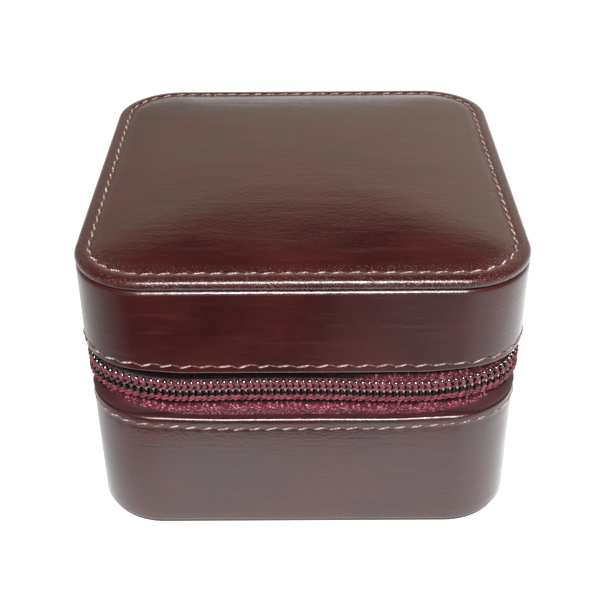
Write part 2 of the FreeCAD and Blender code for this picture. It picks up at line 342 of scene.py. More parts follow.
class Surface(Graph):
    """A material with one Principled shader. Its constant values go straight onto the shader."""

    def __init__(self, name, **constants):
        self.material = bpy.data.materials.new(name)
        super().__init__(self.material)
        self.shader = self.nodes["Principled BSDF"]
        for socket, value in constants.items():
            self.shader.inputs[socket.replace("_", " ")].default_value = value

    def feed(self, socket, value):
        self.links.new(value, self.shader.inputs[socket])

    def places(self, scale):
        """The object's own coordinates, stretched by one scale or by a scale for each axis."""
        scale = scale if isinstance(scale, tuple) else (scale, scale, scale)
        place = self.add("TexCoord", {}).outputs["Object"]
        return self.add("Mapping", {"Vector": place, "Scale": scale}).outputs[0]

    def map_places(self, name="surface"):
        return self.add("UVMap", {}, uv_map=name).outputs[0]

    def map_value(self, name="surface"):
        """The second value of a map."""
        return self.axes(self.map_places(name))["Y"]

    def noise(self, scale, detail=2.0, roughness=0.5):
        inputs = {"Vector": self.places(scale), "Scale": 1.0, "Detail": detail, "Roughness": roughness}
        return self.add("TexNoise", inputs).outputs[0]

    def cells(self, scale, feature="F1"):
        inputs = {"Vector": self.places(scale), "Scale": 1.0}
        return self.add("TexVoronoi", inputs, feature=feature).outputs["Distance"]

    def tones(self, value, low, high, dark, pale):
        """Two colours and their mixes, by a value between two limits."""
        return self.blend(self.fit(value, low, high, 0, 1), dark, pale)

    def colour(self, socket):
        self.feed("Base Color", socket)

    def roughness(self, value, low, high, smooth, rough):
        self.feed("Roughness", self.fit(value, low, high, smooth, rough))

    def bump(self, height, depth, strength=1.0, under=None):
        inputs = {"Height": height, "Distance": depth, "Strength": strength}
        if under:
            inputs["Normal"] = under
        normal = self.add("Bump", inputs).outputs[0]
        self.feed("Normal", normal)
        return normal

    def fibrous(self, fibres, smooth, rough, depth, strength):
        """Roughness and bumps from fine fibres."""
        self.roughness(fibres, 0.3, 0.7, smooth, rough)
        self.bump(fibres, depth, strength)


LEATHER = srgb(69, 19, 20)
LEATHER_DARK = srgb(54, 14, 15)
LEATHER_WORN = srgb(100, 48, 45)
SPECK = srgb(132, 98, 92)


def leather_material(name, grain, crease, paler_below=0.0):
    """Polished leather: fine grain that breaks up its highlights, long shallow creases, uneven dye and a few
    pale specks. Below a height, the tips of its grain are paler."""
    surface = Surface(name, Specular_IOR_Level=0.5, Coat_Weight=1.0, Coat_Roughness=0.13, Coat_IOR=1.5)
    fine = surface.cells(grain, "SMOOTH_F1")
    pores = surface.noise(3200)
    long = surface.noise(crease, detail=4.0, roughness=0.6)
    cloudy = surface.noise(70, detail=3.0)
    dye = surface.tones(cloudy, 0.35, 0.65, LEATHER_DARK, LEATHER)
    creased = surface.blend(surface.fit(long, 0.55, 0.75, 0, 0.35), dye, LEATHER_WORN)
    speckled = surface.blend(surface.fit(surface.cells(560), 0.02, 0.05, 0.7, 0), creased, SPECK)
    edge = surface.fit(surface.axes(surface.places(1))["Z"], paler_below, paler_below + 0.4 * MM, 1, 0)
    pale_tips = surface.calculate("MULTIPLY", edge, surface.fit(pores, 0.56, 0.68, 0, 0.75))
    surface.colour(surface.blend(pale_tips, speckled, SPECK))
    surface.roughness(surface.calculate("ADD", cloudy, long), 0.7, 1.3, 0.24, 0.38)
    creases = surface.bump(long, 0.10 * MM, 0.5)
    grained = surface.bump(fine, 0.05 * MM, 0.5, creases)
    pitted = surface.bump(pores, 0.12 * MM, surface.fit(edge, 0, 1, 0.2, 0.55), grained)
    surface.feed("Coat Normal", pitted)
    return surface.material


def mottled_material(name, fine, patches, share, dark, pale, rough, depth, **constants):
    """Fine pores or fibres over soft patches. The share is how far the fine ones turn the dark tone pale."""
    surface = Surface(name, **constants)
    fibres = surface.noise(fine, detail=3.0)
    pale_patches = surface.fit(surface.noise(*patches), 0.35, 0.65, 0, 1 - share)
    toned = surface.calculate("ADD", surface.fit(fibres, 0.3, 0.7, 0, share), pale_patches)
    surface.colour(surface.blend(toned, dark, pale))
    surface.fibrous(fibres, *rough, depth, 0.6)
    return surface.material


def thread_material():
    """Sewing thread: a painted highlight where it stands on the leather, painted shade where it dips in."""
    surface = Surface("sewing thread", Sheen_Weight=0.3, Specular_IOR_Level=0.6)
    fibres = surface.noise(2500)
    crest_highlight = surface.tones(surface.noise(1500), 0.4, 0.6, srgb(136, 92, 84), srgb(255, 240, 233))
    # Painted light: pale where the thread stands clear, darker where it dips in, as painted shade
    surface.colour(surface.blend(surface.map_value(), srgb(124, 80, 74), crest_highlight))
    surface.fibrous(fibres, 0.28, 0.5, 0.06 * MM, 0.6)
    return surface.material


# TAPE_DARK is painted shade in the yarns' pits, TAPE_HIGHLIGHT a painted highlight on their crests
TAPE_RED = srgb(166, 63, 83)
TAPE_DARK = srgb(84, 18, 38)
TAPE_HIGHLIGHT = srgb(234, 182, 190)


def zip_thread_material():
    surface = Surface("zip thread", Sheen_Weight=0.2, Specular_IOR_Level=0.45)
    fibres = surface.noise(1800)
    uneven = surface.noise((1000, 1000, 1400))
    surface.colour(surface.tones(uneven, 0.35, 0.65, srgb(84, 20, 36), srgb(170, 74, 92)))
    surface.fibrous(fibres, 0.4, 0.7, 0.1 * MM, 0.7)
    return surface.material


def tape_material():
    """Woven tape: short slanting yarns, each with its own tone, painted pale on their crests as highlights
    and dark in the pits between them as shade. Where it is drawn in, it is painted near black as shade."""
    surface = Surface("zip tape", Sheen_Weight=0.15, Specular_IOR_Level=0.45)
    lean = (0, 0, math.radians(38))
    slanted = {"Vector": surface.map_places(), "Scale": (1700, 2800, 1000), "Rotation": lean}
    places = surface.add("Mapping", slanted).outputs[0]
    yarn = surface.add("TexVoronoi", {"Vector": places, "Scale": 1.0, "Randomness": 0.85})
    tone = surface.add("SeparateColor", {"Color": yarn.outputs["Color"]}).outputs[0]
    # Painted light: each yarn is painted pale on its crest as a highlight and dark in its pits as shade
    crest = surface.fit(yarn.outputs["Distance"], 0.15, 0.65, 1, 0)
    lit = surface.calculate("MULTIPLY", crest, surface.fit(tone, 0.0, 1.0, 0.45, 1.2))
    cloth = surface.tones(lit, 0.05, 0.45, TAPE_DARK, TAPE_RED)
    woven = surface.blend(surface.fit(lit, 0.5, 1.0, 0, 0.95), cloth, TAPE_HIGHLIGHT)
    # Painted shade: near black where the tape is drawn in behind the coil and into the gap under the lid
    painted_recess_shade = surface.fit(surface.map_value("depth"), 0.25 * MM, 0.9 * MM, 0, 0.95)
    surface.colour(surface.blend(painted_recess_shade, woven, srgb(20, 6, 9)))
    surface.roughness(lit, 0.0, 0.8, 0.8, 0.5)
    surface.bump(crest, 0.2 * MM, 0.8)
    return surface.material


def coil_material():
    """Dark-grey metal coil. On the upper coil's heels and shoulders its colour is painted near white:
    painted glints.
    """
    surface = Surface("zip coil", Metallic=1.0)
    cloudy = surface.noise(900)
    dull = surface.tones(cloudy, 0.3, 0.7, srgb(62, 57, 57), srgb(92, 86, 85))
    surface.colour(surface.blend(surface.map_value(), dull, srgb(232, 228, 226)))
    surface.roughness(cloudy, 0.3, 0.7, 0.10, 0.18)
    return surface.material


def metal_material():
    surface = Surface("nickel", Metallic=1.0)
    brushed = surface.noise((900, 6000, 900), detail=3.0)
    cloudy = surface.noise(250)
    surface.colour(surface.tones(cloudy, 0.3, 0.7, srgb(176, 172, 168), srgb(206, 203, 198)))
    surface.roughness(surface.calculate("ADD", brushed, cloudy), 0.6, 1.4, 0.16, 0.34)
    surface.bump(brushed, 0.008 * MM, 0.4)
    return surface.material


def nap_material(name, dark, pale, sheen):
    """Short-napped lining cloth: fine fibres, brushed patches and a soft sheen."""
    return mottled_material(name, 2600, ((120, 160, 140), 4.0, 0.6), 0.6, dark, pale, (0.8, 0.95), 0.12 * MM,
                            Sheen_Weight=sheen, Sheen_Roughness=0.4, Specular_IOR_Level=0.2)


def board_material():
    surface = Surface("grey board", Specular_IOR_Level=0.2)
    fibres = surface.noise(900, detail=4.0)
    surface.colour(surface.tones(fibres, 0.35, 0.65, srgb(120, 110, 98), srgb(168, 158, 144)))
    surface.fibrous(fibres, 0.8, 0.95, 0.08 * MM, 0.5)
    return surface.material


wall_leather = leather_material("wall leather", (900, 900, 2200), (60, 60, 700))
turned_leather = mottled_material("turned leather", 2400, (160, 3.0), 0.5, srgb(54, 20, 26),
                                  srgb(80, 38, 43), (0.5, 0.7), 0.05 * MM, Specular_IOR_Level=0.3)
top_leather = leather_material("top leather", (800, 1700, 1700), (50, 420, 420),
                               paler_below=panel_low.z + PANEL_EDGE + 0.15 * MM)
sewing_thread = thread_material()
zip_thread = zip_thread_material()
zip_tape = tape_material()
zip_coil = coil_material()
nickel = metal_material()
lining = nap_material("lining suede", srgb(112, 82, 72), srgb(166, 130, 114), 0.35)
velvet = nap_material("ring roll velvet", srgb(120, 88, 78), srgb(182, 148, 132), 0.6)
grey_board = board_material()


# Leather walls

def arc_profile(inset, height, radius, start, end, steps, lip=0.0):
    """Rows of (share of the zip's plan, inset, height, relief, lip) round an edge."""
    angles = np.radians(np.linspace(start, end, steps))
    lips = np.linspace(0, lip, steps)
    return [(0.0, inset - radius * math.cos(a), height + radius * math.sin(a), 1.0, at)
            for a, at in zip(angles, lips)]


def plain_row(share, inset, height, lip=0.0):
    return (share, inset, height, 0.0, lip)


def face_rows(low, high, row):
    return [(0.0, 0.0, height, 1.0, 0.0) for height in face_heights(low, high, row)[1:-1]]


def face_heights(low, high, row):
    """Heights up a face, closer together beside a row of stitches."""
    wide = np.linspace(low, high, 12)
    close = row + np.linspace(-1.5, 1.5, 11) * MM
    close = close[(close > low) & (close < high)]
    wide = wide[np.abs(wide - row) > 1.7 * MM]
    return np.unique(np.concatenate([wide, close, [low, high]]))


def smooth_step(values, low, high):
    share = np.clip((values - low) / (high - low), 0, 1)
    return share * share * (3 - 2 * share)


def corner_share(normal):
    """0 on the straight sides, 1 in the middle of a corner."""
    return np.abs(2 * normal[..., 0] * normal[..., 1])


def front_corner(distance, begin, full):
    """1 in the front corners. It grows from one distance past the front's straight run to another, and fades
    out on the side, short of the slider's path."""
    into = np.maximum(zip_loop.starts[4] - distance, distance - zip_loop.starts[5])
    past = np.maximum(zip_loop.starts[3] - distance, distance - zip_loop.starts[6])
    return smooth_step(into, begin, full) * (1 - smooth_step(past, -6 * MM, 5 * MM))


# Unevenness of a sewn wall, in mm: the pull of its seam and of each stitch, the swelling between seam and
# edge, and the waves of its face and of its edge. Below them, how wide each is, and how long the waves are
SEAM_PULL, STITCH_PULL, SEAM_SWELL = 0.04, 0.02, 0.05
LONG_WAVE, SHORT_WAVE, EDGE_WAVE = 0.09, 0.02, 0.10
SEAM_WIDTH, SWELL_WIDTH, EDGE_WIDTH = 0.7 * MM, 0.9 * MM, 1.6 * MM
LONG_LENGTH, SHORT_LENGTH, EDGE_LENGTH = 22 * MM, 7 * MM, 16 * MM


def wall_object(name, loop, profile, row, edge, pitch, seed, reshape):
    """A leather wall: its profile follows the plan of the wall, and the plan of the zip where it turns in.
    The reshape function then moves the points of its sewn edge."""
    stations = loop.stations(WALL_STEP)
    distance = loop.distance(stations)
    outer, normal = loop.at(distance)
    zip_distance = zip_loop.distance(stations)
    turned, _ = zip_loop.at(zip_distance)
    share, inset, height, relief, lip = (np.array(column) for column in zip(*profile))
    points = swept(outer, normal, inset, height)
    turn_in = share[None, :, None]
    points[:, :, :2] = points[:, :, :2] * (1 - turn_in) + turned[:, None, :] * turn_in
    along = distance[:, None] / pitch * 2 * math.pi
    drawn = bell(height, row, SEAM_WIDTH)[None, :] * (SEAM_PULL + STITCH_PULL * np.cos(along)) * MM
    bulge = bell(height, (row + edge) / 2, SWELL_WIDTH)[None, :] * SEAM_SWELL * MM
    soft = ripples(points, LONG_LENGTH, seed) * LONG_WAVE * MM
    soft = soft + ripples(points, SHORT_LENGTH, seed + 1) * SHORT_WAVE * MM
    out = (soft + bulge - drawn) * relief[None, :]
    points[:, :, :2] += out[:, :, None] * normal[:, None, :]
    points = reshape(points, outer, normal, turned, zip_distance, lip)
    waver = ripples(points, EDGE_LENGTH, seed + 2) * EDGE_WAVE * MM
    points[:, :, 2] += waver * bell(height, edge, EDGE_WIDTH)[None, :] * relief[None, :]
    return ring_object(name, points)


# How far the base's leather stands up along the lower tape in the front corners, and how it swells and leans
LIP_HEIGHT = 3.8 * MM
LIP_SWELL = 0.6 * MM
LIP_LEAN = 0.08
LEAST_LIP = 0.05 * MM

# Places on the lip's profile: the end of the turned edge, the end of the ledge behind it, and the top
EDGE_END = 0.3
LEDGE_END = 0.5
LIP_ROWS = (0.35, 0.42, 0.49, 0.5, 0.51, 0.6, 0.7, 0.8, 0.9, 0.985, 1.0)

# Both sewn edges are drawn up at the front corners, and this fades out over the walls
LID_EDGE_LIFT = 0.95 * MM
BASE_EDGE_LIFT = 0.9 * MM
BASE_ROW_LIFT = 1.7 * MM
LIFT_REACH = 9 * MM


def edge_tightness(grown):
    return 1 - 0.7 * smooth_step(grown, 0.3, 0.9)


def tighter_edge(points, outer, tight):
    """The turned edge, drawn together towards the sharp corner that it rounds off."""
    corner = np.column_stack([outer, np.full(len(outer), base_high.z)])[:, None, :]
    return corner + (points - corner) * tight[:, None, None]


def standing_lip(outer, normal, turned, grown, lip):
    """The leather behind the base's edge: a flat ledge, and a lip that grows and comes forward in the
    corners."""
    foot = (1.0 - 0.95 * smooth_step(grown, 0.05, 0.7))[:, None]
    tall = (LEAST_LIP + LIP_HEIGHT * grown)[:, None]
    share = foot * np.clip((lip - EDGE_END) / (LEDGE_END - EDGE_END), 0, 1)[None, :]
    up = np.clip((lip - LEDGE_END) / (1 - LEDGE_END), 0, 1)[None, :]
    edge = outer - BASE_EDGE * edge_tightness(grown)[:, None] * normal
    plan = edge[:, None, :] * (1 - share[:, :, None]) + turned[:, None, :] * share[:, :, None]
    bulge = LIP_SWELL * grown[:, None] * np.sin(math.pi * up)
    plan = plan + (bulge - LIP_LEAN * tall * up)[:, :, None] * normal[:, None, :]
    return with_heights(plan, base_high.z + tall * up)


def front_lift(points, amount, begin, full):
    """How far a place is drawn up: it grows along the front from one distance off the middle to another."""
    across = smooth_step(np.abs(points[..., 0]), begin, full)
    return amount * across * smooth_step(-points[..., 1], 18 * MM, 38 * MM)


def lid_edge_lift(points):
    return front_lift(points, LID_EDGE_LIFT, 24 * MM, 36 * MM)


def base_edge_lift(points, amount=BASE_EDGE_LIFT):
    return front_lift(points, amount, 16 * MM, 42 * MM)


def base_edge(points, outer, normal, turned, zip_distance, lip):
    grown = front_corner(zip_distance, -8 * MM, 13 * MM)
    at_edge, behind = (lip > 0)[None, :, None], (lip > EDGE_END)[None, :, None]
    points = np.where(at_edge, tighter_edge(points, outer, edge_tightness(grown)), points)
    points = np.where(behind, standing_lip(outer, normal, turned, grown, lip), points)
    fade = np.clip(1 - (base_high.z - points[:, :, 2]) / LIFT_REACH, 0, 1)
    points[:, :, 2] += base_edge_lift(points) * fade
    return points


def lid_edge(points, outer, normal, turned, zip_distance, lip):
    fade = np.clip(1 - (points[:, :, 2] - lid_low.z) / LIFT_REACH, 0, 1)
    points[:, :, 2] += lid_edge_lift(points) * fade
    return points


def use_on_rows(made, material, columns, first, last):
    """Gives the faces between two columns of a grid a second material."""
    made.data.materials.append(material)
    for face in made.data.polygons:
        places = [corner % columns for corner in face.vertices]
        if min(places) >= first and max(places) <= last:
            face.material_index = 1


def base_wall():
    low, high = base_low.z, base_high.z
    row = high - BASE_ROW_DROP
    under = 0.6 * MM
    profile = [plain_row(0.0, WALL_LEATHER, low)]
    profile += arc_profile(under, low + under, under, -90, 0, 5)
    profile += face_rows(low + under, high - BASE_EDGE, row)
    profile += arc_profile(BASE_EDGE, high - BASE_EDGE, BASE_EDGE, 0, 90, 8, EDGE_END)
    lip_start = len(profile) - 1
    profile += [plain_row(0.5, BASE_EDGE, high, lip) for lip in LIP_ROWS]
    lip_end = len(profile) - 1
    profile += [plain_row(1.0, 0.0, high - drop) for drop in (0.3 * MM, 2.4 * MM, HEM)]
    profile += [plain_row(0.0, WALL_LEATHER, high - HEM)]
    made = wall_object("base_wall", base_loop, profile, row, high, BASE_PITCH, 1, base_edge)
    dress(made, "base", "leather", wall_leather, "base_wall_leather")
    use_on_rows(made, turned_leather, len(profile), lip_start, lip_end)


def lid_wall():
    low, high = lid_low.z, lid_high.z
    row = low + LID_ROW_RISE
    profile = [plain_row(0.0, WALL_LEATHER, high - 0.5 * MM), plain_row(0.0, WALL_LEATHER, low + HEM)]
    profile += [plain_row(1.0, 0.0, low + rise) for rise in (HEM, 2.2 * MM, 0.4 * MM)]
    profile += [plain_row(share, TURNED_EDGE, low) for share in (0.85, 0.5, 0.2)]
    profile += arc_profile(TURNED_EDGE, low + TURNED_EDGE, TURNED_EDGE, -90, 0, 8)
    profile += face_rows(low + TURNED_EDGE, high - TOP_EDGE, row)
    profile += arc_profile(TOP_EDGE, high - TOP_EDGE, TOP_EDGE, 0, 90, 8)
    made = wall_object("lid_wall", lid_loop, profile, row, low, LID_PITCH, 5, lid_edge)
    dress(made, "lid", "leather", wall_leather, "lid_wall_leather")


# Padded top panel

# The panel's border, in mm: the pull of its seam and of each stitch, and the swelling outside the seam.
# Below them, how wide they are, how far in the swelling lies, and the waves of the whole panel
PANEL_SEAM_PULL, PANEL_STITCH_PULL, PANEL_SWELL = 0.11, 0.06, 0.18
PANEL_SEAM_WIDTH, PANEL_SWELL_WIDTH, PANEL_SWELL_INSET = 0.45 * MM, 0.8 * MM, 2.1 * MM
PANEL_LONG_WAVE, PANEL_SHORT_WAVE = 0.16, 0.03

CROWN_RINGS = 60
CROWN_FULLNESS = 2.6
CROWN_SHOULDER = 0.8


def crown(share):
    """Height of the padding, from 0 at the sewn border to 1 in the middle."""
    return (1 - np.clip(share, 0, 1) ** CROWN_FULLNESS) ** CROWN_SHOULDER


def panel_rows():
    """Rings of the panel from its lower edge over the rolled edge and the border, as insets and heights."""
    seam, border, rounding = panel_low.z, panel_low.z + PANEL_EDGE, PANEL_EDGE_ROUND
    rows = [(2.2 * MM, seam + 0.02 * MM)]
    for middle, start, end, steps in ((seam + rounding, -90, 0, 7), (border - rounding, 0, 90, 9)):
        rows += [row[1:3] for row in arc_profile(rounding, middle, rounding, start, end, steps)]
    rows += [(inset * MM, border) for inset in (1.3, 1.7, 2.1, 2.5, 2.8, 3.0, 3.2, 3.4, 3.65)]
    return rows, border


def panel_points():
    """Points of the panel, ring by ring, drawn in along its stitches and crowned over the padding."""
    rows, border = panel_rows()
    distance = lid_loop.distance(lid_loop.stations(WALL_STEP))
    outer, normal = lid_loop.at(distance)
    along = distance / PANEL_PITCH * 2 * math.pi
    rings = []
    for inset, height in rows:
        pull = PANEL_SEAM_PULL + PANEL_STITCH_PULL * np.cos(along)
        pinch = bell(inset, PANEL_ROW_INSET, PANEL_SEAM_WIDTH) * pull * MM
        bulge = bell(inset, PANEL_SWELL_INSET, PANEL_SWELL_WIDTH) * PANEL_SWELL * MM
        on_top = height >= border - 0.01 * MM
        rings.append(np.column_stack([outer - inset * normal, height + (bulge - pinch) * on_top]))
    pad_plan = outer - PAD_INSET * normal
    rise = panel_high.z - border
    for number in range(CROWN_RINGS):
        share = 1 - (number + 0.02) / CROWN_RINGS
        height = border + rise * crown(np.full(len(outer), share))
        rings.append(np.column_stack([pad_plan * share, height]))
    points = np.array(rings)
    weight = np.concatenate([np.full(len(rows), 0.25), np.ones(CROWN_RINGS)])
    soft = ripples(points * np.array([0.6, 1.0, 1.0]), 20 * MM, 11) * PANEL_LONG_WAVE * MM
    soft += ripples(points * np.array([0.35, 1.0, 1.0]), 5 * MM, 12) * PANEL_SHORT_WAVE * MM
    points[:, :, 2] += soft * weight[:, None]
    return points


def lid_top():
    points = panel_points()
    rings, columns = points.shape[:2]
    faces = grid_faces(rings, columns, False)
    faces.append(tuple(range(columns)))
    middle = points[-1].mean(axis=0)
    vertices = np.concatenate([points.reshape(-1, 3), middle[None, :]])
    last = (rings - 1) * columns
    faces += [(last + c, last + (c + 1) % columns, rings * columns) for c in range(columns)]
    made = new_object("lid_top", vertices, faces)
    dress(made, "lid", "leather", top_leather, "lid_top_leather", "lid_top_pad")


# Stitching

THREAD_SIDES = 6
PLY_SHARE = 0.55
LINK_RADIUS = 0.62 * STITCH_RADIUS
LINK_OVERLAP = 0.3 * MM

# How often the plies turn round each other in a stitch, and in a link or a bead
STITCH_TWIST, SHORT_TWIST = 2.6, 0.9

# How unevenly the stitches are sewn: along the row, as a share of the pitch, in lean, and across the row
STITCH_DRIFT = 0.04
STITCH_LEAN = math.radians(9)
STITCH_WANDER = 0.12 * MM


def thread_tube(centres, radius, turns):
    """Two plies twisted round a line, as vertices and faces."""
    rings = len(centres)
    reference = np.tile([0.0, 1.0, 0.0], (rings, 1))
    turn = np.linspace(0, turns * 2 * math.pi, rings)
    vertices, faces = [], []
    for ply in (0, math.pi):
        twist = np.column_stack([np.zeros(rings), np.cos(turn + ply), np.sin(turn + ply)])
        ply_line = centres + PLY_SHARE * radius[:, None] * twist
        tube = tube_points(ply_line, PLY_SHARE * radius, reference, THREAD_SIDES)
        points, sheets = tube_mesh(tube, sum(len(v) for v in vertices))
        vertices.append(points)
        faces += sheets
    return np.concatenate(vertices), faces


def stitch_template(pitch):
    """One stitch that slants over the leather, and the thin link that dips back to the next stitch. X runs
    along the row and Z stands out. The last value is how far each vertex is lifted clear of the leather."""
    slant = math.tan(math.radians(STITCH_SLANT))
    share = np.linspace(-1, 1, 41)
    x = share * STITCH_LENGTH / 2
    over = np.column_stack([x, x * slant, STITCH_RADIUS * (0.5 - 1.5 * share ** 6)])
    dash, dash_faces = thread_tube(over, STITCH_RADIUS * (1 - 0.35 * share ** 8), STITCH_TWIST)
    back = np.linspace(-1, 1, 9)
    reach = (pitch - STITCH_LENGTH) / 2 + LINK_OVERLAP
    under = np.column_stack([pitch / 2 + back * reach, -back * slant * STITCH_LENGTH / 2,
                             STITCH_RADIUS * (0.2 - 0.7 * back ** 4)])
    link, link_faces = thread_tube(under, np.full(len(back), LINK_RADIUS), SHORT_TWIST)
    faces = dash_faces + [tuple(corner + len(dash) for corner in face) for face in link_faces]
    # This lift sets the thread's painted highlight and painted shade
    lift = smooth_step(dash[:, 2], 0.6 * STITCH_RADIUS, 1.5 * STITCH_RADIUS)
    return (np.concatenate([dash, link]), faces), np.concatenate([lift, np.zeros(len(link))])


def lid_row_lift(place):
    return lid_edge_lift(place) * (1 - LID_ROW_RISE / LIFT_REACH)


def base_row_lift(place):
    return base_edge_lift(place, BASE_ROW_LIFT)


def stitch_places(loop, count, height, seed, lift):
    """Places of evenly spaced stitches. They stand on a wall that lifts them, or without a lift on a top."""
    step = loop.length / count
    places = []
    for number in range(count):
        jitter = Vector((number * 1.7, seed, 0))
        point, normal = loop.at(np.array((number + 0.5 + STITCH_DRIFT * noise.noise(jitter)) * step))
        along, out, up = flat((-normal[1], normal[0])), flat(normal), np.array([0.0, 0.0, 1.0])
        stand, side = (out, up) if lift else (up, -out)
        lean = STITCH_LEAN * noise.noise(jitter * 2.3)
        ahead = along * math.cos(lean) + side * math.sin(lean)
        across = np.cross(stand, ahead)
        origin = np.array([point[0], point[1], height]) + STITCH_WANDER * noise.noise(jitter * 3.1) * side
        if lift:
            origin[2] += lift(origin)
        places.append((origin, np.array([ahead, across, stand])))
    return places


def stitch_row(name, loop, pitch, height, body, node, seed, lift):
    count = round(loop.length / pitch)
    template, clear = stitch_template(loop.length / count)
    made = copies_object(name, template, stitch_places(loop, count, height, seed, lift))
    # The map's lift paints the thread pale on its crests and darker in its dips
    add_surface_map(made, 0.0, np.tile(clear, count))
    dress(made, body, "thread", sewing_thread, node)


def stitching():
    base_row = inset_loop(BASE_HALF, BASE_CORNER, STITCH_SINK)
    lid_row = inset_loop(LID_HALF, LID_CORNER, STITCH_SINK)
    panel_row = inset_loop(LID_HALF, LID_CORNER, PANEL_ROW_INSET)
    stitch_row("base_stitches", base_row, BASE_PITCH, base_high.z - BASE_ROW_DROP,
               "base", "base_stitching", 1, base_row_lift)
    stitch_row("lid_stitches", lid_row, LID_PITCH, lid_low.z + LID_ROW_RISE,
               "lid", "lid_wall_stitching", 2, lid_row_lift)
    stitch_row("panel_stitches", panel_row, PANEL_PITCH, panel_low.z + PANEL_EDGE - STITCH_SINK,
               "lid", "lid_top_stitching", 3, None)


# Zip

CHAIN_STAND = 1.0 * MM
CHAIN_RISE = 1.4 * MM

# Where the chain dips along the front: depth, middle and width
CHAIN_DIPS = ((0.30 * MM, -24 * MM, 9 * MM), (0.75 * MM, 21 * MM, 13 * MM))

# The lower tape's groove under the coil and its swelling over the base's edge: amount, height and width
TAPE_GROOVE = (1.7 * MM, lower_coil_low.z - 1.25 * MM, 0.48 * MM)
TAPE_BULGE = (0.45 * MM, base_high.z + 1.9 * MM, 1.1 * MM)


def zip_frame(distance, chain=1.0):
    """Points, tangents and outward normals along the zip, with the height that it wanders up or down by.
    The chain stands out a little where it is bent round the corners, and rises in the front corners."""
    point, normal = zip_loop.at(distance)
    tangent = np.stack([-normal[..., 1], normal[..., 0]], axis=-1)
    front = np.clip(-normal[..., 1], 0, 1)
    wander = -sum(ridge(point[..., 0], *dip) for dip in CHAIN_DIPS)
    stand = CHAIN_STAND * corner_share(normal)
    rise = CHAIN_RISE * front_corner(distance, -5 * MM, 8 * MM)
    return point + chain * stand[..., None] * normal, tangent, normal, wander * front + rise


def tape_lower_bow(height, distance):
    """How far the lower tape stands out and up: it is drawn in under the coil, swells out above the base's
    edge, and follows the chain out in the corners."""
    corner = corner_share(zip_loop.at(distance)[1])[:, None]
    drawn = -ridge(height, *TAPE_GROOVE)
    chain = CHAIN_STAND * corner * np.clip((height - base_high.z) / (4 * MM), 0, 1)
    bulge = ridge(height, *TAPE_BULGE) * (1 - corner)
    return drawn + bulge + chain, np.zeros_like(height)


# The upper tape sinks back and down into the gap, or only back where it shows
TAPE_RECESS = 2.4 * MM
TAPE_DIVE = 2.2 * MM
SHOWN_RECESS = 2.0 * MM


def tape_upper_bow(height, distance):
    """How far the upper tape stands out and up: it sinks into the gap under the lid, and comes out into view
    on the right of the front. On the right side, where the slider runs, it is flat."""
    point, normal = zip_loop.at(distance)
    off_side = (1 - smooth_step(normal[:, 0], 0.3, 0.95))[:, None]
    in_corner = smooth_step(distance - zip_loop.starts[5], 4 * MM, 14 * MM)
    on_front = smooth_step(-normal[:, 1], 0.0, 0.6)
    shown = (smooth_step(point[:, 0], 0 * MM, 20 * MM) * on_front * (1 - in_corner))[:, None]
    sewn, rim = upper_coil_high.z - 1.0 * MM, lid_low.z
    up = (height - sewn) / (rim - sewn)
    hidden_back = TAPE_RECESS * smooth_step(up, 0, 0.35) * (1 - smooth_step(up, 0.65, 1))
    shown_back = SHOWN_RECESS * smooth_step(up, 0.40, 0.54) * (1 - smooth_step(up, 0.75, 1))
    dive = TAPE_DIVE * smooth_step(up, 0, 0.3) * (1 - smooth_step(up, 0.3, 0.8))
    near_chain = np.clip((sewn + 1.2 * MM - height) / (1 * MM), 0, 1)
    chain = CHAIN_STAND * corner_share(normal)[:, None] * near_chain
    out = chain - (hidden_back * (1 - shown) + shown_back * shown) * off_side
    return out, -dive * (1 - shown) * off_side


TAPE_STEP = 0.8 * MM
TAPE_ROWS = 56
TAPE_SINK = 0.05 * MM
TAPE_SEAM = 3.4 * MM


def tape_object(name, fixed_edge, free_edge, bow, body, node):
    """A woven tape from its sewn edge to the edge under the coil. The free edge wanders with the chain."""
    distance = np.linspace(ZIP_START, ZIP_END, round((ZIP_END - ZIP_START) / TAPE_STEP))
    point, _, normal, wander = zip_frame(distance, 0.0)
    rows = np.linspace(0, 1, TAPE_ROWS)
    share = np.concatenate([rows, rows[::-1]])
    height = fixed_edge + (free_edge - fixed_edge) * share
    bowed, raised = bow(height[None, :], distance)
    depth = np.repeat([0.0, TAPE_THICKNESS], TAPE_ROWS)[None, :] + TAPE_SINK - bowed
    points = swept(point, normal, depth, height[None, :] + wander[:, None] * share[None, :] + raised)
    made = tube_object(name, points)
    add_surface_map(made, distance[:, None], height[None, :])
    # The depth map drives the tape's painted shade where it is drawn in
    add_surface_map(made, distance[:, None], -bowed, "depth")
    dress(made, body, "zip_tape", zip_tape, node)


COIL_STEPS = 36
COIL_SIDES = 8
COIL_MARGIN = 2.2 * MM
WIRE_ROOM = 0.30 * MM
COIL_SQUARENESS = 0.7

# The wire's radius in mm, how much it swells at the head and at the shoulder that has a painted glint, and
# where that lies
WIRE_RADIUS, HEAD_SWELL, SHOULDER_SWELL = 0.25, 0.07, 0.08
SHOULDER_PLACE, SHOULDER_WIDTH = math.radians(102), math.radians(13)


